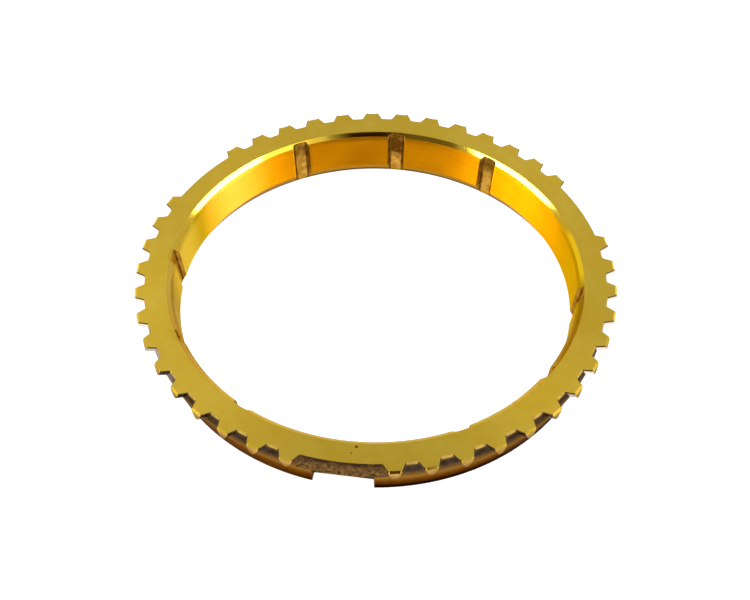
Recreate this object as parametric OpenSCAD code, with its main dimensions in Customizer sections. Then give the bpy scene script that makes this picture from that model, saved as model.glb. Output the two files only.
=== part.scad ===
// Synchronizer ring: a forged and machined brass ring with blocking teeth round its top flange,
// a tapered friction bore with oil grooves, and key slots in the hub below the flange.
// Lengths are in millimetres; the ring stands on its bottom face at z = 0.

/* [Ring] */
// Diameter over the tooth tips
tip_diameter = 100; // [98:0.5:108]
// Height from the bottom face to the top face
ring_height = 11.15; // [10:0.05:14]
// Thickness of the toothed flange at the tooth roots
flange_thickness = 4.55; // [4.2:0.05:5.4]
// Distance the hub wall is set in below the tooth roots
hub_set_in = 1.2; // [0.8:0.05:1.8]
// Draft angle of the hub wall
hub_draft = 7.7; // [3:0.1:9]
// Width of the small edge breaks on the flange and the hub
edge_break = 0.35; // [0.15:0.05:0.5]

/* [Teeth] */
// Number of tooth pitches in a full turn
pitch_count = 45; // [36:3:54]
// Teeth left out over each key slot
teeth_left_out = 2; // [1:1:3]
// Depth of the teeth from tip to root
tooth_depth = 1.94; // [1.4:0.02:2.2]
// Share of a pitch that is solid at the tooth tips
tip_share = 0.35; // [0.3:0.01:0.42]
// Share of a pitch that is solid at the tooth roots
root_share = 0.65; // [0.55:0.01:0.75]
// Length of a tooth tip down to its point
tip_length = 2.3; // [1.9:0.05:3]
// Angle between the two sloped faces of a tooth point
point_angle = 86; // [76:1:120]

/* [Bore] */
// Radial distance from the tooth tips in to the mouth of the friction cone
rim_width = 7.96; // [7.4:0.01:9]
// Angle of the friction cone from the axis
cone_angle = 6.5; // [4:0.1:8]
// Width of the mouth chamfer
mouth_chamfer_width = 1.36; // [0.8:0.02:1.6]
// Height of the mouth chamfer
mouth_chamfer_height = 1.18; // [0.8:0.02:1.6]
// Width of the chamfer at the foot of the cone
foot_chamfer_width = 1.68; // [0.6:0.01:1.8]
// Height of the chamfer at the foot of the cone
foot_chamfer_height = 2.9; // [1:0.05:3.2]

/* [Oil grooves] */
// Number of equal groove places round the bore, those at the key slots left plain
groove_places = 12; // [6:3:15]
// Width of a groove where it meets the cone
groove_width = 3.8; // [2.4:0.1:4.5]
// Depth of a groove below the cone
groove_depth = 1.05; // [0.7:0.05:1.1]
// Angle by which the grooves are turned from the middle of the tooth gaps
groove_turn = 0.6; // [-1.5:0.1:1.5]

/* [Key slots] */
// Number of key slots round the hub
slot_count = 3; // [3:1:3]
// Width of a key slot
slot_width = 12.1; // [8:0.1:14]
// Radial distance from the cone mouth out to the back wall of a slot
slot_web = 1.6; // [1.4:0.05:2]
// Radius of the inner corners of a slot
slot_corner = 0.9; // [0.5:0.1:1.2]

/* [Hidden] */
$fn = 180;
brass = [0.72, 0.58, 0.22];
margin = 2;
edge_overrun = 0.2;
root_point_step = 0.8;

tip_radius = tip_diameter / 2;
root_radius = tip_radius - tooth_depth;
flange_bottom = ring_height - flange_thickness;
hub_top_radius = root_radius - hub_set_in;
hub_bottom_radius = hub_top_radius - flange_bottom * tan(hub_draft);

mouth_radius = tip_radius - rim_width;
top_inner_radius = mouth_radius + mouth_chamfer_width;
mouth_height = ring_height - mouth_chamfer_height;
cone_foot_radius = mouth_radius - (mouth_height - foot_chamfer_height) * tan(cone_angle);
bottom_inner_radius = cone_foot_radius + foot_chamfer_width;

pitch_angle = 360 / pitch_count;
pitches_per_group = pitch_count / slot_count;
teeth_per_group = pitches_per_group - teeth_left_out;
group_angle = 360 / slot_count;
first_slot_angle = 30;
first_tooth_angle = first_slot_angle + (teeth_left_out + 1) / 2 * pitch_angle;

tip_half_width = tip_radius * sin(pitch_angle * tip_share / 2);
root_half_width = root_radius * sin(pitch_angle * root_share / 2);
flank_slope = (root_half_width - tip_half_width) / tooth_depth;
tip_point_height = ring_height - tip_length;
root_point_height = flange_bottom + root_point_step;
ridge_angle = atan((tip_point_height - root_point_height) / tooth_depth);
point_rise = cos(ridge_angle) / tan(point_angle / 2);

groove_angle = 360 / groove_places;
grooves_per_slot = groove_places / slot_count;
groove_corner_width = 0.83 * groove_width;
groove_floor_width = 0.57 * groove_width;
groove_corner_depth = 0.7 * groove_depth;

slot_back = mouth_radius + slot_web;
slot_step = 0.1;
slot_ceiling = flange_bottom + slot_step;

// Half section of the ring before the tooth spaces, grooves and slots are cut
module ring_section() {
    polygon([
        [bottom_inner_radius, 0],
        [hub_bottom_radius - edge_break, 0],
        [hub_bottom_radius, edge_break],
        [hub_top_radius, flange_bottom],
        [tip_radius, flange_bottom],
        [tip_radius, ring_height - edge_break],
        [tip_radius - edge_break, ring_height],
        [top_inner_radius, ring_height],
        [mouth_radius, mouth_height],
        [cone_foot_radius, foot_chamfer_height]
    ]);
}

// Solid inside the tooth roots, with the lower edge of the flange broken
module root_core() {
    inner_edge = root_radius - edge_break - edge_overrun;
    rotate_extrude()
        polygon([
            [0, -margin],
            [inner_edge, -margin],
            [inner_edge, flange_bottom - edge_overrun],
            [root_radius, flange_bottom + edge_break],
            [root_radius, ring_height + margin],
            [0, ring_height + margin]
        ]);
}

// Outline of a tooth seen from above, running in past the root and out past the tip
module tooth_outline() {
    inner_half_width = root_half_width + margin * flank_slope;
    outer_half_width = tip_half_width - edge_break * flank_slope;
    polygon([
        [root_radius - margin, -inner_half_width],
        [tip_radius + edge_break, -outer_half_width],
        [tip_radius + edge_break, outer_half_width],
        [root_radius - margin, inner_half_width]
    ]);
}

// Space above the pointed lower end of a tooth, its ridge sloping down to the root
module above_point() {
    half_span = 2 * root_half_width;
    span_top = 3 * flange_thickness;
    ridge_length = 8 * tooth_depth;
    translate([tip_radius, 0, tip_point_height])
        rotate([0, -ridge_angle, 0])
            rotate([90, 0, 90])
                linear_extrude(height = ridge_length, center = true)
                    polygon([
                        [0, 0],
                        [half_span, half_span * point_rise],
                        [half_span, span_top],
                        [-half_span, span_top],
                        [-half_span, half_span * point_rise]
                    ]);
}

module tooth() {
    intersection() {
        linear_extrude(height = ring_height + margin)
            tooth_outline();
        above_point();
    }
}

module teeth() {
    for (group = [0 : slot_count - 1])
        for (place = [0 : teeth_per_group - 1])
            rotate(first_tooth_angle + group * group_angle + place * pitch_angle)
                tooth();
}

// Cutter for one oil groove, its floor parallel to the friction cone
module groove() {
    translate([mouth_radius, 0, mouth_height])
        rotate([0, cone_angle, 0])
            translate([0, 0, -mouth_height - margin])
                linear_extrude(height = ring_height + 2 * margin)
                    polygon([
                        [-margin, -groove_width / 2],
                        [0, -groove_width / 2],
                        [groove_corner_depth, -groove_corner_width / 2],
                        [groove_depth, -groove_floor_width / 2],
                        [groove_depth, groove_floor_width / 2],
                        [groove_corner_depth, groove_corner_width / 2],
                        [0, groove_width / 2],
                        [-margin, groove_width / 2]
                    ]);
}

module grooves() {
    for (slot = [0 : slot_count - 1])
        for (place = [1 : grooves_per_slot - 1])
            rotate(first_slot_angle + slot * group_angle + place * groove_angle + groove_turn)
                groove();
}

// Outline of a key slot seen from above, with rounded inner corners
module slot_outline() {
    slot_depth = tip_radius + margin - slot_back;
    corner_offset = slot_width / 2 - slot_corner;
    translate([slot_back + slot_corner, -slot_width / 2])
        square([slot_depth - slot_corner, slot_width]);
    translate([slot_back, -corner_offset])
        square([slot_corner + margin, 2 * corner_offset]);
    for (side = [-1, 1])
        translate([slot_back + slot_corner, side * corner_offset])
            circle(r = slot_corner);
}

module slots() {
    for (slot = [0 : slot_count - 1])
        rotate(first_slot_angle + slot * group_angle)
            translate([0, 0, -margin])
                linear_extrude(height = slot_ceiling + margin)
                    slot_outline();
}

module synchronizer_ring() {
    color(brass)
        difference() {
            intersection() {
                rotate_extrude()
                    ring_section();
                union() {
                    root_core();
                    teeth();
                }
            }
            grooves();
            slots();
        }
}

synchronizer_ring();
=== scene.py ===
import math

import bpy
import numpy as np
from mathutils import Matrix, Vector


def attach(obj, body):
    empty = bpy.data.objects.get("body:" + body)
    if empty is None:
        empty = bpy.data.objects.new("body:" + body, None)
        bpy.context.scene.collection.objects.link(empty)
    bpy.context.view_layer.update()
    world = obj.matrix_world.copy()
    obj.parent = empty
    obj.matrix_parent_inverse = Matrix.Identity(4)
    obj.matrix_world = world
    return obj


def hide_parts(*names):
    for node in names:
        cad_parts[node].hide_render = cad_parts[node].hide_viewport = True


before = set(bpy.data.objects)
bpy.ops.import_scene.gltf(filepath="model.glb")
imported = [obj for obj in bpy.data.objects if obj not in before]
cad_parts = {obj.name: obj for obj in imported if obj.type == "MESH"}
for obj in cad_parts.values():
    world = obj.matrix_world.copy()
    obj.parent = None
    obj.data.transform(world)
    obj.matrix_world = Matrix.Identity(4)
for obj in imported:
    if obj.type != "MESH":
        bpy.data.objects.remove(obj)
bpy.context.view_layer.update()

# One millimetre in metres, the unit of the scene
MILLIMETRE = 0.001

# Driving sizes of the ring in millimetres and degrees, as in the construction
TIP_RADIUS = 50.0
TOOTH_DEPTH = 1.94
HEIGHT = 11.15
FLANGE_THICKNESS = 4.55
HUB_SET_IN = 1.2
HUB_DRAFT = 7.7
PITCH_COUNT = 45
TEETH_LEFT_OUT = 2
TIP_SHARE = 0.35
ROOT_SHARE = 0.65
TIP_LENGTH = 2.3
ROOT_POINT_STEP = 0.8
MOUTH_RADIUS = 42.04
CONE_ANGLE = 6.5
MOUTH_CHAMFER = (1.36, 1.18)
FOOT_CHAMFER = (1.68, 2.9)
GROOVE_PLACES = 12
GROOVE_DEPTH = 1.05
GROOVE_TURN = 0.6
SLOT_COUNT = 3
FIRST_SLOT_ANGLE = 30.0
SLOT_WIDTH = 12.1
SLOT_WEB = 1.6

# Steeper tooth points and sharper slot corners than in the construction, as in the photograph
POINT_ANGLE = 64.0
SLOT_CORNER = 0.35

# Width and height of the top edge's chamfer on the tips, flanks, tooth gaps and wide gaps
TIP_EDGE = (0.42, 0.42)
FLANK_EDGE = (0.1, 0.1)
GAP_EDGE = (0.25, 0.6)
WIDE_EDGE = (0.1, 0.1)

# Other edge roundings in millimetres, and the points on each rounded corner of a tooth
FLANGE_EDGE = 0.35
HUB_EDGE = 0.4
HUB_FILLET = 0.15
SLOT_EDGE = 0.15
MOUTH_BULGE = 0.015
MOUTH_ROUNDING = 0.7
TIP_CORNER = 0.32
ROOT_CORNER = 0.5
CORNER_POINTS = 5

# How far the points of the teeth are worn from a straight point towards a round one
POINT_BLUNTING = 0.9

# Least height of the wall that stays above a tooth point
SMALLEST_WALL = 0.05

ROOT_RADIUS = TIP_RADIUS - TOOTH_DEPTH
FLANGE_BOTTOM = HEIGHT - FLANGE_THICKNESS
HUB_TOP_RADIUS = ROOT_RADIUS - HUB_SET_IN
DRAFT_SLOPE = math.tan(math.radians(HUB_DRAFT))
CONE_SLOPE = math.tan(math.radians(CONE_ANGLE))
MOUTH_HEIGHT = HEIGHT - MOUTH_CHAMFER[1]
TOP_INNER_RADIUS = MOUTH_RADIUS + MOUTH_CHAMFER[0]
FOOT_RADIUS = MOUTH_RADIUS - (MOUTH_HEIGHT - FOOT_CHAMFER[1]) * CONE_SLOPE
BOTTOM_INNER_RADIUS = FOOT_RADIUS + FOOT_CHAMFER[0]
PITCH = 360.0 / PITCH_COUNT
GROUP = 360.0 / SLOT_COUNT
SLOT_BACK = MOUTH_RADIUS + SLOT_WEB

# Places across half of a slot's back wall, as shares of half its width
SLOT_BACK_SHARES = np.linspace(0.77, 0.0, 8)

# Length of a slot's straight wall outside its rounded corner, and the points on that corner
SLOT_WALL_LENGTH = 1.2
SLOT_CORNER_POINTS = 5

# Columns of the mesh in degrees: the widest and the narrowest step, what counts as the same angle,
# and the decimals that are kept
WIDEST_STEP = 0.9
NARROWEST_STEP = 0.03
SAME_ANGLE = 0.001
ANGLE_DECIMALS = 4

# Columns of a slot in degrees: the outermost, the step before the back wall, and the room kept beside them
SLOT_COLUMNS_START = 8.5
SLOT_COLUMNS_STEP = 0.6
SLOT_COLUMNS_ROOM = 0.15

# Marks of the columns outside the slots and of those at a slot's outer edge; the others count from 0
OUTSIDE_SLOT = -2
SLOT_OUTER_EDGE = -1

# Rows of the mesh in each stretch of the section, and the places of those across the bottom face
ROWS = {
    "foot": 3, "cone": 8, "rounding": 6, "mouth": 5, "top": 7, "edge": 2, "wall": 4, "point": 3, "root": 4,
    "flange_edge": 3, "under": 2, "fillet": 3, "hub": 7, "hub_edge": 4,
}
BOTTOM_SHARES = (0.35, 0.7)

# Edges that bend by more than this many degrees are shaded sharp
SHARP_BEND = 32.0

# Half of a groove's section: distance from its middle line and depth below the cone
GROOVE_SECTION = np.array([
    (0.0, 1.0), (0.8, 1.0), (1.13, 0.965), (1.4, 0.86), (1.6, 0.68),
    (1.73, 0.42), (1.83, 0.14), (1.91, 0.03), (2.08, 0.0),
])


def rounded_corner(before, corner, after, radius, steps):
    """Points of an arc that rounds the corner between two straight lines."""
    before, corner, after = (np.array(point, float) for point in (before, corner, after))
    to_before = (before - corner) / np.linalg.norm(before - corner)
    to_after = (after - corner) / np.linalg.norm(after - corner)
    half_angle = math.acos(float(np.clip(to_before @ to_after, -1, 1))) / 2
    middle = to_before + to_after
    centre = corner + middle / np.linalg.norm(middle) * radius / math.sin(half_angle)
    start = corner + to_before * radius / math.tan(half_angle) - centre
    end = corner + to_after * radius / math.tan(half_angle) - centre
    sweep = math.pi - 2 * half_angle
    return [
        centre + (math.sin((1 - share) * sweep) * start + math.sin(share * sweep) * end) / math.sin(sweep)
        for share in np.linspace(0, 1, steps)
    ]


def shares(count):
    """Even steps that end at 1."""
    return np.linspace(0, 1, count + 1)[1:]


def quarter_turn(count):
    """Even steps in radians that end at a right angle."""
    return np.radians(90.0 * shares(count))


def polar(points):
    """Angles in degrees and radii of plan points."""
    points = np.array(points)
    return np.degrees(np.arctan2(points[:, 1], points[:, 0])), np.hypot(points[:, 0], points[:, 1])


def half_tooth():
    """Angles and radii of a tooth's outline: its middle, the arc at the tip, the arc at the root."""
    tip_half = math.radians(PITCH * TIP_SHARE / 2)
    root_half = math.radians(PITCH * ROOT_SHARE / 2)
    tip_middle = (TIP_RADIUS, 0.0)
    tip_corner = (TIP_RADIUS * math.cos(tip_half), TIP_RADIUS * math.sin(tip_half))
    root_corner = (ROOT_RADIUS * math.cos(root_half), ROOT_RADIUS * math.sin(root_half))
    gap_half = math.radians(PITCH / 2)
    gap_middle = (ROOT_RADIUS * math.cos(gap_half), ROOT_RADIUS * math.sin(gap_half))
    outline = [tip_middle]
    outline += rounded_corner(tip_middle, tip_corner, root_corner, TIP_CORNER, CORNER_POINTS)
    outline += rounded_corner(tip_corner, root_corner, gap_middle, ROOT_CORNER, CORNER_POINTS)
    angles, radii = polar(outline)
    return angles, np.maximum(radii, ROOT_RADIUS)


def tooth_angles():
    per_group = PITCH_COUNT // SLOT_COUNT - TEETH_LEFT_OUT
    first = FIRST_SLOT_ANGLE + (TEETH_LEFT_OUT + 1) / 2 * PITCH
    return np.array([
        first + group * GROUP + place * PITCH
        for group in range(SLOT_COUNT) for place in range(per_group)
    ])


def wide_gap_angles():
    return np.array([FIRST_SLOT_ANGLE + slot * GROUP for slot in range(SLOT_COUNT)])


def groove_angles():
    per_slot = GROOVE_PLACES // SLOT_COUNT
    return np.array([
        wide_gap + place * 360.0 / GROOVE_PLACES + GROOVE_TURN
        for wide_gap in wide_gap_angles() for place in range(1, per_slot)
    ])


def turn_between(angles, centres):
    """Signed angle in degrees from the nearest centre to each angle, and that centre's index."""
    turns = (angles[:, None] - centres[None, :] + 180.0) % 360.0 - 180.0
    nearest = np.argmin(np.abs(turns), axis=1)
    return turns[np.arange(len(angles)), nearest], nearest


def slot_path():
    """Half of a slot's wall in plan, from its outer edge to the middle of its back wall."""
    half_width = SLOT_WIDTH / 2
    outer = (HUB_TOP_RADIUS, half_width)
    corner = (SLOT_BACK, half_width)
    wall = [(SLOT_BACK + SLOT_CORNER + SLOT_WALL_LENGTH, half_width)]
    back = [(SLOT_BACK, half_width * share) for share in SLOT_BACK_SHARES]
    arc = rounded_corner(outer, corner, back[0], SLOT_CORNER, SLOT_CORNER_POINTS)
    return wall + [tuple(point) for point in arc] + back


def slot_column_steps():
    """Angles from a slot's middle of the columns that make its walls, from outside to the middle."""
    straight = np.degrees(np.arcsin(SLOT_BACK_SHARES * SLOT_WIDTH / 2 / SLOT_BACK))
    outer_count = len(slot_path()) - len(straight) + 1
    outer = np.linspace(SLOT_COLUMNS_START, straight[0] + SLOT_COLUMNS_STEP, outer_count)
    return np.concatenate([outer, straight])


def column_angles():
    """Angles of the mesh's columns: one at each feature, and enough between them for round walls."""
    half_angles, _ = half_tooth()
    teeth = tooth_angles()
    features = [teeth]
    for offset in half_angles[1:]:
        features += [teeth + offset, teeth - offset]
    features += [teeth + PITCH / 2, teeth - PITCH / 2]
    for offset in np.degrees(np.arcsin(GROOVE_SECTION[:, 0] / MOUTH_RADIUS)):
        features += [groove_angles() + offset, groove_angles() - offset]
    angles = np.unique(np.round(np.concatenate(features) % 360.0, ANGLE_DECIMALS))
    steps = slot_column_steps()
    kept = np.abs(turn_between(angles, wide_gap_angles())[0]) > steps[0] + SLOT_COLUMNS_ROOM
    slots = [angle + side * steps for angle in wide_gap_angles() for side in (-1, 1)]
    slots = np.concatenate(slots) % 360.0
    angles = np.unique(np.round(np.concatenate([angles[kept], slots]), ANGLE_DECIMALS))
    spaced = [angles[0]]
    for angle in angles[1:]:
        is_slot = np.min(np.abs((slots - angle + 180) % 360 - 180)) < SAME_ANGLE
        gap = angle - spaced[-1]
        if gap < NARROWEST_STEP and not is_slot:
            continue
        extra = int(gap // WIDEST_STEP)
        spaced += [spaced[-1] + gap * (k + 1) / (extra + 1) for k in range(extra)]
        spaced.append(angle)
    return np.array(spaced)


def beside_wide_gap(angles):
    """Whether each angle lies between the tips of the two teeth beside a wide gap."""
    half_width = (TEETH_LEFT_OUT + 1) / 2 * PITCH
    return np.abs(turn_between(angles, wide_gap_angles())[0]) < half_width


def column_kinds(angles):
    """What the outer wall is between each column and the next: tip, flank, gap or wide gap."""
    middles = angles + ((np.roll(angles, -1) - angles) % 360.0) / 2
    turns = np.abs(turn_between(middles, tooth_angles())[0])
    outline_angles, _ = half_tooth()
    tip_end = outline_angles[CORNER_POINTS]
    flank_end = outline_angles[1 + CORNER_POINTS + CORNER_POINTS // 2]
    kinds = np.where(turns < flank_end, "flank", "gap")
    kinds = np.where(beside_wide_gap(middles), "wide", kinds)
    return np.where(turns < tip_end, "tip", kinds)


def top_edge_sizes(angles):
    """Width and height of the top edge's chamfer at each column."""
    outline_angles, _ = half_tooth()
    turns = np.abs(turn_between(angles, tooth_angles())[0])
    places = outline_angles[[1, CORNER_POINTS, CORNER_POINTS + 1, 2 * CORNER_POINTS]]
    sizes = []
    for tip, flank, gap, wide in zip(TIP_EDGE, FLANK_EDGE, GAP_EDGE, WIDE_EDGE):
        by_gap = np.interp(turns, places, (tip, flank, flank, gap))
        by_wide = np.interp(turns, places, (tip, flank, flank, wide))
        sizes.append(np.where(beside_wide_gap(angles), by_wide, by_gap))
    return sizes


def build_ring():
    """The ring's surface as one closed grid: columns round the axis, rows round the section."""
    angles = column_angles()
    count = len(angles)
    direction = np.stack([np.cos(np.radians(angles)), np.sin(np.radians(angles))], axis=1)

    tooth_turn, _ = turn_between(angles, tooth_angles())
    outline_angles, outline_radii = half_tooth()
    plan_radius = np.interp(np.abs(tooth_turn), outline_angles, outline_radii)
    outline = direction * plan_radius[:, None]
    along = np.roll(outline, -1, axis=0) - np.roll(outline, 1, axis=0)
    outward = np.stack([along[:, 1], -along[:, 0]], axis=1)
    outward /= np.linalg.norm(outward, axis=1)[:, None]
    edge_width, edge_height = top_edge_sizes(angles)

    groove_turn, _ = turn_between(angles, groove_angles())
    groove_offset = MOUTH_RADIUS * np.sin(np.radians(np.abs(groove_turn)))
    groove_share = np.interp(groove_offset, GROOVE_SECTION[:, 0], GROOVE_SECTION[:, 1])
    groove_depth = groove_share * GROOVE_DEPTH / math.cos(math.radians(CONE_ANGLE))

    slot_turn, slot_index = turn_between(angles, wide_gap_angles())
    steps = slot_column_steps()
    path = slot_path()
    path_column = np.full(count, OUTSIDE_SLOT)
    for order, step in enumerate(steps, start=SLOT_OUTER_EDGE):
        path_column[np.abs(np.abs(slot_turn) - step) < SAME_ANGLE] = order

    rows = []
    zones = []

    def add_row(zone, plan, heights):
        rows.append(np.column_stack([plan, np.broadcast_to(heights, (count,))]))
        zones.append(zone)

    def ring_at(radius):
        return direction * np.broadcast_to(radius, (count,))[:, None]

    def hub_at(radius, push):
        """Plan points of the hub wall, or of the slot's walls where a slot is cut."""
        plan = ring_at(radius + push)
        for j in np.nonzero(path_column != OUTSIDE_SLOT)[0]:
            turn = math.radians(wide_gap_angles()[slot_index[j]])
            side = 1.0 if slot_turn[j] >= 0 else -1.0
            if path_column[j] == SLOT_OUTER_EDGE:
                along_slot = math.sqrt((radius + push) ** 2 - (SLOT_WIDTH / 2) ** 2)
                across = SLOT_WIDTH / 2
            else:
                along_slot, across = path[path_column[j]]
                along_slot += push * SLOT_EDGE / HUB_EDGE
            across *= side
            plan[j] = (
                along_slot * math.cos(turn) - across * math.sin(turn),
                along_slot * math.sin(turn) + across * math.cos(turn),
            )
        return plan

    cone_at_floor = MOUTH_RADIUS - MOUTH_HEIGHT * CONE_SLOPE
    foot_slope = FOOT_CHAMFER[0] / FOOT_CHAMFER[1]
    foot_height = (BOTTOM_INNER_RADIUS - cone_at_floor - groove_depth) / (foot_slope + CONE_SLOPE)
    mouth_slope = MOUTH_CHAMFER[0] / MOUTH_CHAMFER[1]
    mouth_height = MOUTH_HEIGHT + groove_depth / (mouth_slope - CONE_SLOPE)

    for share in np.linspace(0, 1, ROWS["foot"] + 1):
        height = foot_height * share
        add_row("foot", ring_at(BOTTOM_INNER_RADIUS - height * foot_slope), height)
    mouth_length = math.hypot(*MOUTH_CHAMFER)
    rounding = MOUTH_ROUNDING * (HEIGHT - mouth_height) / mouth_length
    cone_end = mouth_height - rounding * MOUTH_CHAMFER[1] / MOUTH_CHAMFER[0]
    for share in shares(ROWS["cone"]):
        height = foot_height + (cone_end - foot_height) * share
        add_row("cone", ring_at(cone_at_floor + height * CONE_SLOPE + groove_depth), height)
    corner_radius = MOUTH_RADIUS + (mouth_height - MOUTH_HEIGHT) * mouth_slope
    for share in shares(ROWS["rounding"]):
        before = (mouth_height - cone_end) * (1 - share) ** 2
        after = rounding * share ** 2
        radius = corner_radius - before * CONE_SLOPE + after * mouth_slope
        add_row("cone", ring_at(radius), mouth_height - before + after)
    for share in shares(ROWS["mouth"]):
        bulge = MOUTH_BULGE * 4 * share * (1 - share)
        height = mouth_height + rounding + (HEIGHT - mouth_height - rounding) * share
        radius = MOUTH_RADIUS + (height - MOUTH_HEIGHT) * mouth_slope
        inward = bulge * MOUTH_CHAMFER[1] / mouth_length
        upward = bulge * MOUTH_CHAMFER[0] / mouth_length
        add_row("mouth", ring_at(radius - inward), height + upward)

    inner = ring_at(TOP_INNER_RADIUS)
    outer = outline - outward * edge_width[:, None]
    for share in shares(ROWS["top"]):
        add_row("top", inner + (outer - inner) * share, HEIGHT)
    for share in shares(ROWS["edge"]):
        add_row("edge", outer + (outline - outer) * share, HEIGHT - edge_height * share)

    point_slope = 1 / math.tan(math.radians(POINT_ANGLE / 2))
    root_point = FLANGE_BOTTOM + ROOT_POINT_STEP
    ridge_slope = (HEIGHT - TIP_LENGTH - root_point) / TOOTH_DEPTH
    across_turn = np.radians(np.minimum(np.abs(tooth_turn), outline_angles[-1]))
    tip_turn = math.radians(outline_angles[CORNER_POINTS])
    blunting = np.minimum(across_turn / tip_turn, 1.0) ** POINT_BLUNTING
    wall_top = HEIGHT - edge_height
    wall_end = (
        root_point + (plan_radius - ROOT_RADIUS) * ridge_slope
        + plan_radius * np.sin(across_turn) * point_slope * blunting
    )
    wall_end = np.minimum(wall_end, wall_top - SMALLEST_WALL)
    root_end = np.minimum(root_point + ROOT_RADIUS * np.sin(across_turn) * point_slope, wall_end)
    for share in shares(ROWS["wall"]):
        add_row("wall", outline, wall_top + (wall_end - wall_top) * share)
    for share in shares(ROWS["point"]):
        radius = plan_radius + (ROOT_RADIUS - plan_radius) * share
        add_row("point", ring_at(radius), wall_end + (root_end - wall_end) * share)
    for share in shares(ROWS["root"]):
        add_row("root", ring_at(ROOT_RADIUS), root_end + (FLANGE_BOTTOM + FLANGE_EDGE - root_end) * share)
    for turn in quarter_turn(ROWS["flange_edge"]):
        radius = ROOT_RADIUS - FLANGE_EDGE * (1 - math.cos(turn))
        add_row("under", ring_at(radius), FLANGE_BOTTOM + FLANGE_EDGE * (1 - math.sin(turn)))

    lip = ring_at(ROOT_RADIUS - FLANGE_EDGE)
    fillet_start = hub_at(HUB_TOP_RADIUS, HUB_FILLET)
    for share in shares(ROWS["under"]):
        add_row("under", lip + (fillet_start - lip) * share, FLANGE_BOTTOM)
    for turn in quarter_turn(ROWS["fillet"]):
        push = HUB_FILLET * (1 - math.sin(turn))
        add_row("hub", hub_at(HUB_TOP_RADIUS, push), FLANGE_BOTTOM - HUB_FILLET * (1 - math.cos(turn)))
    for share in shares(ROWS["hub"]):
        height = FLANGE_BOTTOM - HUB_FILLET + (HUB_EDGE - FLANGE_BOTTOM + HUB_FILLET) * share
        add_row("hub", hub_at(HUB_TOP_RADIUS - (FLANGE_BOTTOM - height) * DRAFT_SLOPE, 0.0), height)
    hub_bottom_radius = HUB_TOP_RADIUS - (FLANGE_BOTTOM - HUB_EDGE) * DRAFT_SLOPE
    for turn in quarter_turn(ROWS["hub_edge"]):
        push = -HUB_EDGE * (1 - math.cos(turn))
        add_row("hub", hub_at(hub_bottom_radius, push), HUB_EDGE * (1 - math.sin(turn)))
    outer = hub_at(hub_bottom_radius, -HUB_EDGE)
    inner = ring_at(BOTTOM_INNER_RADIUS)
    for share in BOTTOM_SHARES:
        add_row("bottom", outer + (inner - outer) * share, 0.0)

    groove_share = np.minimum(groove_share, np.roll(groove_share, -1))
    return np.array(rows), zones, column_kinds(angles), groove_share


# Finish of each stretch of the section, and of those that differ between tips, flanks and gaps
MATERIAL_OF_ZONE = {
    "foot": "foot", "cone": "cone", "mouth": "mouth", "top": "face", "edge": "edge", "wall": "gap",
    "point": "point", "root": "gap", "under": "hub", "hub": "hub", "bottom": "face",
}
MATERIAL_BY_KIND = {
    ("wall", "tip"): "tip",
    ("edge", "gap"): "bevel", ("edge", "flank"): "flank", ("edge", "wide"): "wide",
    ("wall", "flank"): "flank",
    ("wall", "wide"): "wide", ("root", "wide"): "wide",
}

# Share of a groove's depth from which each of its finishes starts
GROOVE_FINISHES = [("groove_side", 0.02), ("groove_corner", 0.5), ("groove", 0.9)]


def mouth_normals(rows, zones):
    """Normals of the mouth's chamfer at each corner of its grid, true to the cone it is cut from."""
    first = zones.index("mouth") - 1
    steps = zones.count("mouth")
    full_length = math.hypot(*MOUTH_CHAMFER)
    along = np.array(MOUTH_CHAMFER) / full_length
    outward = np.array((-along[1], along[0]))
    tilt = 4 * MOUTH_BULGE / (full_length - MOUTH_ROUNDING)
    normals = np.zeros_like(rows)
    for step in range(steps + 1):
        radial, rise = outward - along * tilt * (1 - 2 * step / steps)
        plan = rows[first + step, :, :2]
        normals[first + step, :, :2] = plan / np.linalg.norm(plan, axis=1)[:, None] * radial
        normals[first + step, :, 2] = rise
    return normals


def make_mesh(rows, zones, kinds, groove_share):
    row_count, column_count, _ = rows.shape
    vertices = rows.reshape(-1, 3) * MILLIMETRE
    row = np.arange(row_count)[:, None]
    column = np.arange(column_count)[None, :]
    next_row = (row + 1) % row_count
    next_column = (column + 1) % column_count
    quads = np.stack([
        row * column_count + column,
        row * column_count + next_column,
        next_row * column_count + next_column,
        next_row * column_count + column,
    ], axis=2).reshape(-1, 4)[:, ::-1]
    mesh = bpy.data.meshes.new("ring_mesh")
    mesh.from_pydata(vertices.tolist(), [], quads.tolist())
    face_zones = zones[1:] + zones[:1]
    index = np.zeros((row_count, column_count), int)
    for face_row, zone in enumerate(face_zones):
        names = [MATERIAL_BY_KIND.get((zone, kind), MATERIAL_OF_ZONE[zone]) for kind in kinds]
        index[face_row, :] = [MATERIALS.index(name) for name in names]
        if zone in ("foot", "cone"):
            for name, least_share in GROOVE_FINISHES:
                index[face_row, groove_share > least_share] = MATERIALS.index(name)
    mesh.polygons.foreach_set("material_index", index.reshape(-1))
    mesh.polygons.foreach_set("use_smooth", np.ones(len(quads), bool))
    mesh.set_sharp_from_angle(angle=math.radians(SHARP_BEND))
    in_mouth = np.repeat([zone == "mouth" for zone in face_zones], column_count)
    corner_normals = mouth_normals(rows, zones).reshape(-1, 3)[quads]
    corner_normals[~in_mouth] = 0.0
    mesh.normals_split_custom_set(corner_normals.reshape(-1, 3).tolist())
    mesh.update()
    return mesh


def fill_inputs(tree, node, inputs):
    """Link each socket that is given, and set each plain value, on a node's inputs."""
    for name, value in inputs.items():
        if isinstance(value, bpy.types.NodeSocket):
            tree.links.new(value, node.inputs[name])
        else:
            node.inputs[name].default_value = value


def make_node(tree, kind, inputs=None, **settings):
    made = tree.nodes.new(kind)
    for name, value in settings.items():
        setattr(made, name, value)
    fill_inputs(tree, made, inputs or {})
    return made


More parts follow.
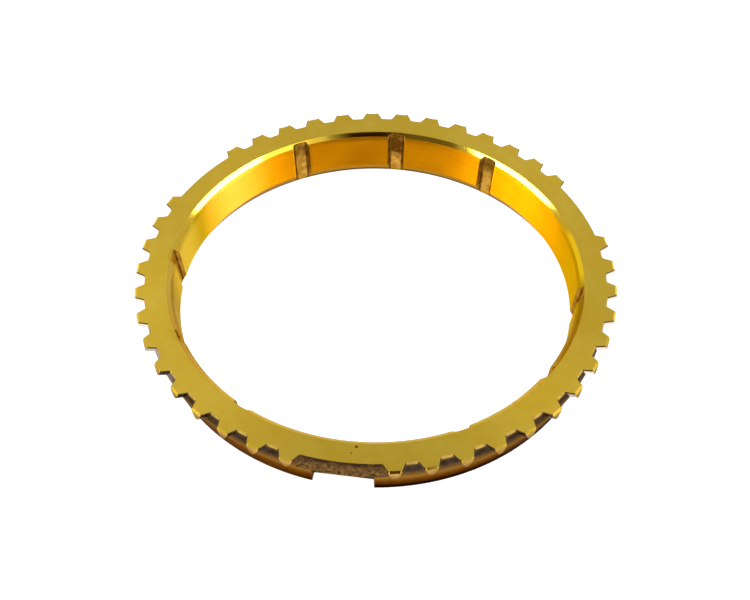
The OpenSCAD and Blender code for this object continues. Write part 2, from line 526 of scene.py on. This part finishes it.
def ring_place(tree):
    """Sockets for a point's place on the ring in millimetres, and its direction from the axis."""
    coordinates = make_node(tree, "ShaderNodeTexCoord")
    position = make_node(tree, "ShaderNodeVectorMath", {
        0: coordinates.outputs["Object"], "Scale": 1 / MILLIMETRE,
    }, operation="SCALE").outputs[0]
    flat = make_node(tree, "ShaderNodeVectorMath", {0: position, 1: (1.0, 1.0, 0.0)}, operation="MULTIPLY")
    radius = make_node(tree, "ShaderNodeVectorMath", {0: flat.outputs[0]}, operation="LENGTH")
    direction = make_node(tree, "ShaderNodeVectorMath", {0: flat.outputs[0]}, operation="NORMALIZE")
    axes = make_node(tree, "ShaderNodeSeparateXYZ", {0: direction.outputs[0]})
    return {
        "position": position,
        "radius": radius.outputs["Value"],
        "height": make_node(tree, "ShaderNodeSeparateXYZ", {0: position}).outputs["Z"],
        "direction": direction.outputs[0],
        "sideways": axes.outputs["X"],
        "lengthways": axes.outputs["Y"],
    }


def span(tree, value, low, high, to_low=0.0, to_high=1.0):
    """A value's range mapped onto another and held at its ends."""
    return make_node(tree, "ShaderNodeMapRange", {
        "Value": value, "From Min": low, "From Max": high, "To Min": to_low, "To Max": to_high,
    }).outputs["Result"]


def product(tree, first, second):
    return make_node(tree, "ShaderNodeMath", {0: first, 1: second}, operation="MULTIPLY").outputs[0]


def mix_colour(tree, share, first, second):
    """A blend of two colours, each a socket or a tuple of red, green and blue."""
    first, second = (
        (*colour, 1.0) if isinstance(colour, tuple) else colour for colour in (first, second)
    )
    return make_node(tree, "ShaderNodeMix", {0: share, 6: first, 7: second}, data_type="RGBA").outputs[2]


def cloud(tree, vector, scale, detail=3.0, low=0.35, high=0.65):
    """Soft blotches between 0 and 1."""
    noise = make_node(tree, "ShaderNodeTexNoise", {"Vector": vector, "Scale": scale, "Detail": detail})
    return span(tree, noise.outputs["Fac"], low, high)


def tool_marks(tree, place, across, around, spacing):
    """Fine lines that run round the axis, spaced along the radius or the height."""
    stretched = make_node(tree, "ShaderNodeVectorMath", {
        0: place["direction"], "Scale": around,
    }, operation="SCALE").outputs[0]
    step = product(tree, place[across], 1 / spacing)
    lift = make_node(tree, "ShaderNodeCombineXYZ", {"Z": step}).outputs[0]
    vector = make_node(tree, "ShaderNodeVectorMath", {0: stretched, 1: lift}, operation="ADD").outputs[0]
    return cloud(tree, vector, 1.0, detail=2.0, low=0.3, high=0.7)


def distance_from(tree, place, centre):
    return make_node(tree, "ShaderNodeVectorMath", {
        0: place["position"], 1: centre,
    }, operation="DISTANCE").outputs["Value"]


def spots(tree, place, marks):
    """A mask of small round spots, each given by its angle, radius and size."""
    mask = 0.0
    for angle, radius, size in marks:
        turn = math.radians(angle)
        centre = (radius * math.cos(turn), radius * math.sin(turn), HEIGHT)
        spot = span(tree, distance_from(tree, place, centre), size, SPECK_CORE * size)
        mask = make_node(tree, "ShaderNodeMath", {0: mask, 1: spot}, operation="MAXIMUM").outputs[0]
    return mask


def make_bump(tree, shader, height, depth):
    """Raise a surface by a pattern, to a depth in millimetres."""
    bump = make_node(tree, "ShaderNodeBump", {"Height": height, "Distance": depth * MILLIMETRE})
    tree.links.new(bump.outputs["Normal"], shader.inputs["Normal"])


# A right angle as a share of a turn
RIGHT_ANGLE = 0.25


def turned_grain(tree, shader, anisotropy):
    """Stretch reflections across the lines that turning leaves round the axis."""
    tangent = make_node(tree, "ShaderNodeTangent", direction_type="RADIAL", axis="Z")
    fill_inputs(tree, shader, {
        "Tangent": tangent.outputs["Tangent"],
        "Anisotropic": anisotropy,
        "Anisotropic Rotation": RIGHT_ANGLE,
    })


# Colours of the finishes as linear red, green and blue
BRASS = {
    "face": (0.83, 0.55, 0.046),
    "pale face": (0.86, 0.61, 0.07),
    "deep face": (0.76, 0.47, 0.03),
    "speck": (0.16, 0.07, 0.01),
    "mouth": (0.83, 0.545, 0.05),
    "mouth lines": (0.78, 0.5, 0.042),
    "mouth reflection at the right": (0.8, 0.5, 0.012),
    "mouth reflection at the front": (0.66, 0.45, 0.07),
    "painted mouth shade": (0.42, 0.23, 0.008),
    "cone": (0.74, 0.285, 0.0012),
    "bright cone": (0.84, 0.35, 0.002),
    "cone threads": (0.62, 0.21, 0.001),
    "cone reflection at the right": (0.68, 0.395, 0.001),
    "cone highlight at the back left": (0.8, 0.34, 0.03),
    "cone shade near the left": (0.43, 0.265, 0.006),
    "cone reflection at the left": (0.8, 0.56, 0.06),
    "cone reflection at the front": (0.6, 0.41, 0.07),
    "groove": (0.6, 0.33, 0.055),
    "stained groove": (0.36, 0.17, 0.018),
    "dark oil": (0.1, 0.038, 0.003),
    "groove side": (0.5, 0.27, 0.035),
    "stained groove side": (0.3, 0.14, 0.015),
    # The lower corner of a groove's wall is darker as painted shade, with stains on it
    "shaded groove corner": (0.22, 0.1, 0.013),
    "stained and shaded groove corner": (0.07, 0.03, 0.004),
    "foot": (0.62, 0.3, 0.015),
    "foot lines": (0.5, 0.24, 0.01),
    "foot contact shadow": (0.12, 0.06, 0.01),
    "deep edge": (0.7, 0.44, 0.06),
    "bevel": (0.58, 0.385, 0.09),
    "deep bevel": (0.44, 0.285, 0.068),
    "tip": (0.52, 0.33, 0.1),
    "deep tip": (0.42, 0.25, 0.07),
    "lower tip": (0.21, 0.085, 0.022),
    "flank": (0.05, 0.034, 0.022),
    "light flank": (0.1, 0.063, 0.04),
    "point": (0.8, 0.68, 0.52),
    "deep point": (0.7, 0.57, 0.42),
    "shaded point at the front": (0.09, 0.06, 0.04),
    "gap": (0.03, 0.021, 0.016),
    "light gap": (0.075, 0.048, 0.034),
    "lower gap": (0.25, 0.125, 0.028),
    "upper gap": (0.14, 0.08, 0.035),
    "gap reflection at the front left": (0.45, 0.39, 0.37),
    "wide gap": (0.06, 0.032, 0.014),
    "light wide gap": (0.25, 0.14, 0.045),
    "patched wide gap": (0.14, 0.07, 0.034),
    "upper wide gap": (0.045, 0.025, 0.014),
    "hub": (0.18, 0.06, 0.008),
    "deep hub": (0.135, 0.041, 0.005),
    "hub reflection higher up": (0.33, 0.16, 0.032),
    "hub contact shadow": (0.006, 0.001, 0.0003),
}

# Shares of the white sheen at grazing angles that the finishes keep
DULL_SHEEN = (0.5, 0.45, 0.4, 1.0)
MOUTH_SHEEN = (0.58, 0.52, 0.4, 1.0)
GROOVE_SHEEN = (0.5, 0.4, 0.2, 1.0)
CONE_SHEEN = (0.95, 0.85, 0.35, 1.0)
POINT_SHEEN = (1.0, 1.0, 1.0)
DULL_POINT_SHEEN = (0.2, 0.16, 0.12)

# Dark specks on the top face: angle in degrees, radius and size in millimetres; and the share of the size
# that is fully dark
FACE_SPECKS = [(273.2, 44.2, 0.42), (272.1, 45.7, 0.22), (195.3, 48.6, 0.12), (208.6, 44.3, 0.14)]
SPECK_CORE = 0.4

# Middles of an oil stain in one groove and of a stretch of the mouth darkened with painted shade, in
# millimetres
OIL_STAIN = (0.0, 43.0, 8.2)
MOUTH_SHADE_MIDDLE = (41.5, -9.0, 11.0)

# Painted light on the cone: reflections towards its right and its left, a highlight at its back left and
# shade near its left, with where each begins and where it is full, and its colour
CONE_PAINTED_LIGHT = [
    (0.8, 0.98, "cone reflection at the right"),
    (-0.66, -0.82, "cone highlight at the back left"),
    (-0.86, -0.95, "cone shade near the left"),
    (-0.96, -0.995, "cone reflection at the left"),
]


def turned_face(tree, shader, place):
    lines = tool_marks(tree, place, "radius", around=2.5, spacing=0.16)
    blotches = cloud(tree, place["position"], 0.09, detail=4.0)
    small_blotches = cloud(tree, place["position"], 0.45)
    colour = mix_colour(tree, blotches, BRASS["face"], BRASS["pale face"])
    colour = mix_colour(tree, product(tree, small_blotches, 0.3), colour, BRASS["deep face"])
    colour = mix_colour(tree, product(tree, lines, 0.06), colour, BRASS["deep face"])
    colour = mix_colour(tree, spots(tree, place, FACE_SPECKS), colour, BRASS["speck"])
    fill_inputs(tree, shader, {"Base Color": colour, "Roughness": 0.275})
    make_bump(tree, shader, lines, 0.0001)
    turned_grain(tree, shader, 0.7)


def polished_mouth(tree, shader, place):
    lines = tool_marks(tree, place, "radius", around=4.0, spacing=0.12)
    right = span(tree, place["sideways"], 0.84, 0.92)
    front = span(tree, place["lengthways"], 0.1, -0.2)
    stain_and_shade = span(tree, distance_from(tree, place, MOUTH_SHADE_MIDDLE), 15.0, 8.0)
    colour = mix_colour(tree, lines, BRASS["mouth"], BRASS["mouth lines"])
    # Painted reflection colours at the mouth's right and front, and painted shade round one stretch at its
    # right
    colour = mix_colour(tree, right, colour, BRASS["mouth reflection at the right"])
    colour = mix_colour(tree, front, colour, BRASS["mouth reflection at the front"])
    colour = mix_colour(tree, stain_and_shade, colour, BRASS["painted mouth shade"])
    roughness = span(tree, front, 0.0, 1.0, 0.09, 0.32)
    fill_inputs(tree, shader, {"Base Color": colour, "Roughness": roughness, "Specular Tint": MOUTH_SHEEN})


def friction_cone(tree, shader, place):
    threads = tool_marks(tree, place, "height", around=3.0, spacing=0.22)
    blotches = cloud(tree, place["position"], 0.12)
    front = span(tree, place["lengthways"], -0.1, -0.3)
    colour = mix_colour(tree, blotches, BRASS["cone"], BRASS["bright cone"])
    colour = mix_colour(tree, product(tree, threads, 0.25), colour, BRASS["cone threads"])
    # Painted reflections, a painted highlight and painted shade round the cone
    for begin, full, name in CONE_PAINTED_LIGHT:
        colour = mix_colour(tree, span(tree, place["sideways"], begin, full), colour, BRASS[name])
    # Painted reflection on the front of the cone
    colour = mix_colour(tree, front, colour, BRASS["cone reflection at the front"])
    roughness = span(tree, threads, 0.0, 1.0, 0.5, 0.6)
    fill_inputs(tree, shader, {"Base Color": colour, "Roughness": roughness, "Specular Tint": CONE_SHEEN})
    make_bump(tree, shader, threads, 0.002)
    turned_grain(tree, shader, 0.95)


def oil_groove(tree, shader, place):
    stains = cloud(tree, place["position"], 0.8, detail=5.0)
    streaks = cloud(tree, place["position"], 0.5, detail=4.0, low=0.2, high=0.6)
    patches = cloud(tree, place["position"], 0.9, detail=4.0, low=0.3, high=0.5)
    aside = make_node(tree, "ShaderNodeMath", {0: place["sideways"]}, operation="ABSOLUTE").outputs[0]
    oil = product(tree, span(tree, place["height"], 5.5, 9.5), span(tree, aside, 0.55, 0.9, 1.0, 0.15))
    stain_and_shade = span(tree, distance_from(tree, place, OIL_STAIN), 4.2, 2.2)
    colour = mix_colour(tree, stains, BRASS["groove"], BRASS["stained groove"])
    colour = mix_colour(tree, product(tree, oil, streaks), colour, BRASS["dark oil"])
    colour = mix_colour(tree, product(tree, stain_and_shade, patches), colour, BRASS["dark oil"])
    fill_inputs(tree, shader, {"Base Color": colour, "Roughness": 0.45, "Specular Tint": GROOVE_SHEEN})
    make_bump(tree, shader, stains, 0.03)


def groove_wall(clean, stained):
    """The finish of a groove's wall, between two colours."""
    def finish(tree, shader, place):
        stains = cloud(tree, place["position"], 0.8, detail=4.0)
        colour = mix_colour(tree, stains, BRASS[clean], BRASS[stained])
        fill_inputs(tree, shader, {"Base Color": colour, "Roughness": 0.45, "Specular Tint": GROOVE_SHEEN})
    return finish


def foot_chamfer(tree, shader, place):
    lines = tool_marks(tree, place, "height", around=3.0, spacing=0.3)
    colour = mix_colour(tree, lines, BRASS["foot"], BRASS["foot lines"])
    # Painted contact shadow: the foot darkens towards its bottom edge
    colour = mix_colour(tree, span(tree, place["height"], 1.3, 0.6), colour, BRASS["foot contact shadow"])
    fill_inputs(tree, shader, {"Base Color": colour, "Roughness": 0.35, "Specular Tint": DULL_SHEEN})
    make_bump(tree, shader, lines, 0.004)


def broken_edge(tree, shader, place):
    grain = cloud(tree, place["position"], 0.9, detail=4.0)
    colour = mix_colour(tree, grain, BRASS["face"], BRASS["deep edge"])
    fill_inputs(tree, shader, {"Base Color": colour, "Roughness": span(tree, grain, 0.0, 1.0, 0.16, 0.24)})


def gap_bevel(tree, shader, place):
    grain = cloud(tree, place["position"], 0.9, detail=4.0)
    colour = mix_colour(tree, grain, BRASS["bevel"], BRASS["deep bevel"])
    roughness = span(tree, grain, 0.0, 1.0, 0.45, 0.55)
    fill_inputs(tree, shader, {"Base Color": colour, "Roughness": roughness, "Specular Tint": DULL_SHEEN})
    make_bump(tree, shader, grain, 0.01)


def tooth_tip(tree, shader, place):
    grain = cloud(tree, place["position"], 0.7, detail=5.0)
    colour = mix_colour(tree, grain, BRASS["tip"], BRASS["deep tip"])
    colour = mix_colour(tree, span(tree, place["height"], 10.4, 8.6), colour, BRASS["lower tip"])
    roughness = span(tree, grain, 0.0, 1.0, 0.38, 0.5)
    fill_inputs(tree, shader, {"Base Color": colour, "Roughness": roughness, "Specular Tint": DULL_SHEEN})
    make_bump(tree, shader, grain, 0.02)


def tooth_flank(tree, shader, place):
    grain = cloud(tree, place["position"], 0.9, detail=5.0)
    colour = mix_colour(tree, grain, BRASS["flank"], BRASS["light flank"])
    fill_inputs(tree, shader, {"Base Color": colour, "Roughness": 0.5, "Specular Tint": DULL_SHEEN})
    make_bump(tree, shader, grain, 0.03)


def tooth_point(tree, shader, place):
    grain = cloud(tree, place["position"], 0.9, detail=5.0)
    front = span(tree, place["lengthways"], -0.45, -0.65)
    colour = mix_colour(tree, grain, BRASS["point"], BRASS["deep point"])
    # Painted shade on the points at the front, where their white sheen is also cut down
    colour = mix_colour(tree, front, colour, BRASS["shaded point at the front"])
    sheen = mix_colour(tree, front, POINT_SHEEN, DULL_POINT_SHEEN)
    fill_inputs(tree, shader, {"Base Color": colour, "Roughness": 0.22, "Specular Tint": sheen})
    make_bump(tree, shader, grain, 0.01)


def tooth_gap(tree, shader, place):
    grain = cloud(tree, place["position"], 0.9, detail=5.0)
    left = span(tree, place["sideways"], -0.72, -0.84)
    front = span(tree, place["lengthways"], -0.3, -0.55)
    colour = mix_colour(tree, grain, BRASS["gap"], BRASS["light gap"])
    colour = mix_colour(tree, span(tree, place["height"], 8.7, 6.8), colour, BRASS["lower gap"])
    colour = mix_colour(tree, span(tree, place["height"], 9.8, 10.5), colour, BRASS["upper gap"])
    # Painted reflection: a pale grey on the tooth gaps at the front left
    colour = mix_colour(tree, product(tree, left, front), colour, BRASS["gap reflection at the front left"])
    fill_inputs(tree, shader, {"Base Color": colour, "Roughness": 0.5, "Specular Tint": DULL_SHEEN})
    make_bump(tree, shader, grain, 0.03)


def forged_gap(tree, shader, place):
    grain = cloud(tree, place["position"], 1.5, detail=5.0, low=0.38, high=0.62)
    patches = cloud(tree, place["position"], 0.45)
    shadows = cloud(tree, place["position"], 0.7, low=0.2, high=0.5)
    upper = product(tree, span(tree, place["height"], 9.4, 10.7), shadows)
    colour = mix_colour(tree, grain, BRASS["wide gap"], BRASS["light wide gap"])
    colour = mix_colour(tree, product(tree, patches, 0.5), colour, BRASS["patched wide gap"])
    colour = mix_colour(tree, upper, colour, BRASS["upper wide gap"])
    fill_inputs(tree, shader, {"Base Color": colour, "Roughness": 0.55, "Specular Tint": DULL_SHEEN})
    make_bump(tree, shader, grain, 0.05)


def forged_hub(tree, shader, place):
    grain = cloud(tree, place["position"], 0.8, detail=6.0)
    less_at_left = span(tree, place["sideways"], -0.3, 0.0, 0.4, 1.0)
    # Painted contact shadow towards the hub's bottom edge, weaker at the left
    contact_shadow = product(tree, span(tree, place["height"], 2.6, 1.0), less_at_left)
    colour = mix_colour(tree, grain, BRASS["hub"], BRASS["deep hub"])
    # Painted reflection: the hub is lighter towards the flange
    colour = mix_colour(tree, span(tree, place["height"], 2.7, 4.4), colour, BRASS["hub reflection higher up"])
    colour = mix_colour(tree, contact_shadow, colour, BRASS["hub contact shadow"])
    roughness = span(tree, grain, 0.0, 1.0, 0.4, 0.52)
    fill_inputs(tree, shader, {"Base Color": colour, "Roughness": roughness, "Specular Tint": DULL_SHEEN})
    make_bump(tree, shader, grain, 0.05)


FINISHES = {
    "face": turned_face,
    "mouth": polished_mouth,
    "cone": friction_cone,
    "groove": oil_groove,
    "groove_side": groove_wall("groove side", "stained groove side"),
    "groove_corner": groove_wall("shaded groove corner", "stained and shaded groove corner"),
    "foot": foot_chamfer,
    "edge": broken_edge,
    "bevel": gap_bevel,
    "tip": tooth_tip,
    "flank": tooth_flank,
    "point": tooth_point,
    "gap": tooth_gap,
    "wide": forged_gap,
    "hub": forged_hub,
}
MATERIALS = list(FINISHES)


def make_material(name):
    material = bpy.data.materials.new(name + "_brass")
    material.use_nodes = True
    tree = material.node_tree
    shader = tree.nodes["Principled BSDF"]
    shader.inputs["Metallic"].default_value = 1.0
    FINISHES[name](tree, shader, ring_place(tree))
    return material


ring = bpy.data.objects.new("ring", make_mesh(*build_ring()))
bpy.context.scene.collection.objects.link(ring)
for finish in MATERIALS:
    ring.data.materials.append(make_material(finish))
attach(ring, "root")
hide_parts("synchronizer_ring")

# Camera fitted to the photograph, which is cut from the right part of a wider picture
VIEW_AZIMUTH = math.radians(11.2386)
VIEW_ELEVATION = math.radians(49.0301)
VIEW_ROLL = -0.0467596
VIEW_DISTANCE = 292.0615
VIEW_OFFSET = (-13.3856, -5.6992)
PICTURE_SHIFT = 0.0867876
SENSOR_WIDTH = 36.0
LENS = 67.2369
CLIP_RANGE = (0.01, 20.0)


def make_camera():
    back = Vector((
        math.sin(VIEW_AZIMUTH) * math.cos(VIEW_ELEVATION),
        -math.cos(VIEW_AZIMUTH) * math.cos(VIEW_ELEVATION),
        math.sin(VIEW_ELEVATION),
    ))
    level = Vector((math.cos(VIEW_AZIMUTH), math.sin(VIEW_AZIMUTH), 0.0))
    upright = back.cross(level)
    right = level * math.cos(VIEW_ROLL) + upright * math.sin(VIEW_ROLL)
    up = upright * math.cos(VIEW_ROLL) - level * math.sin(VIEW_ROLL)
    top_middle = Vector((0.0, 0.0, HEIGHT))
    place = top_middle + back * VIEW_DISTANCE + right * VIEW_OFFSET[0] + up * VIEW_OFFSET[1]
    data = bpy.data.cameras.new("camera")
    data.sensor_width = SENSOR_WIDTH
    data.lens = LENS
    data.shift_x = PICTURE_SHIFT
    data.clip_start, data.clip_end = CLIP_RANGE
    camera = bpy.data.objects.new("camera", data)
    camera.matrix_world = Matrix((
        (right.x, up.x, back.x, place.x * MILLIMETRE),
        (right.y, up.y, back.y, place.y * MILLIMETRE),
        (right.z, up.z, back.z, place.z * MILLIMETRE),
        (0.0, 0.0, 0.0, 1.0),
    ))
    bpy.context.scene.collection.objects.link(camera)
    bpy.context.scene.camera = camera


# The floor: half its width and its drop below the ring in metres, its grey, glow and roughness
FLOOR_SIZE = 4.0
FLOOR_DROP = 0.00002
FLOOR_GREY = 0.2
FLOOR_GLOW = 0.98
FLOOR_ROUGHNESS = 0.9

# Turn of the lights' azimuths, which are counted from the right of the picture
LIGHT_TURN = math.radians(7.0)

# The studio's sky: two heights on its unit sphere, each with its brightness
SKY_LOW = (0.5, 0.64)
SKY_HIGH = (0.9, 0.45)

# Edge of the half of the sky that faces a box, on the unit sphere
HORIZON_EDGE = 0.01

# Dark and bright boxes in the sky, each over the ones before it: the directions of its two ends,
# its half height and the softness of its edge in degrees, and its colour
SKY_BOXES = [
    ((222.0, 51.0), (262.0, 53.0), 13.0, 3.0, (0.15, 0.14, 0.11)),
    ((275.0, 34.0), (275.0, 58.0), 5.0, 11.0, (0.025, 0.008, 0.002)),
    ((268.0, 31.0), (291.0, 32.0), 8.0, 6.0, (0.05, 0.015, 0.003)),
    ((136.0, 14.0), (152.0, 23.0), 8.0, 4.0, (1.0, 1.0, 1.0)),
    ((118.0, 40.0), (152.0, 42.0), 5.0, 4.0, (2.0, 2.0, 2.0)),
    ((178.0, 22.0), (200.0, 28.0), 9.0, 4.0, (1.1, 1.1, 1.1)),
    ((344.0, 27.0), (12.0, 16.0), 9.0, 4.0, (1.1, 1.1, 1.1)),
    ((304.0, 54.0), (320.0, 50.0), 6.0, 4.0, (1.0, 1.0, 1.0)),
    ((316.0, 52.0), (338.0, 46.0), 7.0, 4.0, (1.9, 1.9, 1.9)),
    ((168.0, 34.0), (207.0, 50.0), 7.0, 3.0, (19.0, 19.0, 19.0)),
    ((340.0, 46.0), (6.0, 37.0), 10.0, 2.0, (19.0, 19.0, 19.0)),
    ((2.0, 38.0), (16.0, 31.0), 4.5, 2.0, (19.0, 19.0, 19.0)),
]


def toward(azimuth, elevation):
    """Unit direction from the ring, with its azimuth counted from the right of the picture."""
    turn = math.radians(azimuth) + LIGHT_TURN
    rise = math.radians(elevation)
    return Vector((math.cos(turn) * math.cos(rise), math.sin(turn) * math.cos(rise), math.sin(rise)))


def make_floor():
    mesh = bpy.data.meshes.new("floor_mesh")
    corners = [(x * FLOOR_SIZE, y * FLOOR_SIZE, 0.0) for x, y in ((-1, -1), (1, -1), (1, 1), (-1, 1))]
    mesh.from_pydata(corners, [], [(0, 1, 2, 3)])
    floor = bpy.data.objects.new("floor", mesh)
    floor.location.z = -FLOOR_DROP
    bpy.context.scene.collection.objects.link(floor)
    material = bpy.data.materials.new("floor_paper")
    material.use_nodes = True
    shader = material.node_tree.nodes["Principled BSDF"]
    fill_inputs(material.node_tree, shader, {
        "Base Color": (FLOOR_GREY, FLOOR_GREY, FLOOR_GREY, 1.0), "Roughness": FLOOR_ROUGHNESS,
        "Emission Color": (1.0, 1.0, 1.0, 1.0), "Emission Strength": FLOOR_GLOW,
    })
    mesh.materials.append(material)


def box_mask(tree, direction, ends, half_height, softness):
    """Whether a direction of the sky falls in a box, from 0 outside it to 1 inside."""
    start, end = (toward(*place) for place in ends)
    outward = (start + end).normalized()
    along = (end - start).normalized()
    across = outward.cross(along)
    projections = [
        make_node(tree, "ShaderNodeVectorMath", {0: direction, 1: axis}, operation="DOT_PRODUCT")
        for axis in (outward, along, across)
    ]
    depth, *sides = (node.outputs["Value"] for node in projections)
    half_length = math.degrees(start.angle(end)) / 2
    mask = span(tree, depth, 0.0, HORIZON_EDGE)
    for side, half_size in zip(sides, (half_length, half_height)):
        turn = make_node(tree, "ShaderNodeMath", {0: side, 1: depth}, operation="ARCTAN2").outputs[0]
        size = make_node(tree, "ShaderNodeMath", {0: turn}, operation="ABSOLUTE").outputs[0]
        inside = make_node(tree, "ShaderNodeMapRange", {
            "Value": size,
            "From Min": math.radians(half_size + softness),
            "From Max": math.radians(half_size),
        }, interpolation_type="SMOOTHSTEP").outputs["Result"]
        mask = product(tree, mask, inside)
    return mask


def make_world():
    world = bpy.data.worlds.new("studio")
    world.use_nodes = True
    tree = world.node_tree
    direction = make_node(tree, "ShaderNodeTexCoord").outputs["Generated"]
    rise = make_node(tree, "ShaderNodeSeparateXYZ", {0: direction}).outputs["Z"]
    sky = span(tree, rise, SKY_LOW[0], SKY_HIGH[0], SKY_LOW[1], SKY_HIGH[1])
    colour = make_node(tree, "ShaderNodeCombineXYZ", {0: sky, 1: sky, 2: sky}).outputs[0]
    for start, end, half_height, softness, shade in SKY_BOXES:
        mask = box_mask(tree, direction, (start, end), half_height, softness)
        colour = mix_colour(tree, mask, colour, shade)
    tree.links.new(colour, tree.nodes["Background"].inputs["Color"])
    bpy.context.scene.world = world


make_camera()
make_floor()
make_world()
bpy.context.scene.view_settings.view_transform = "Standard"
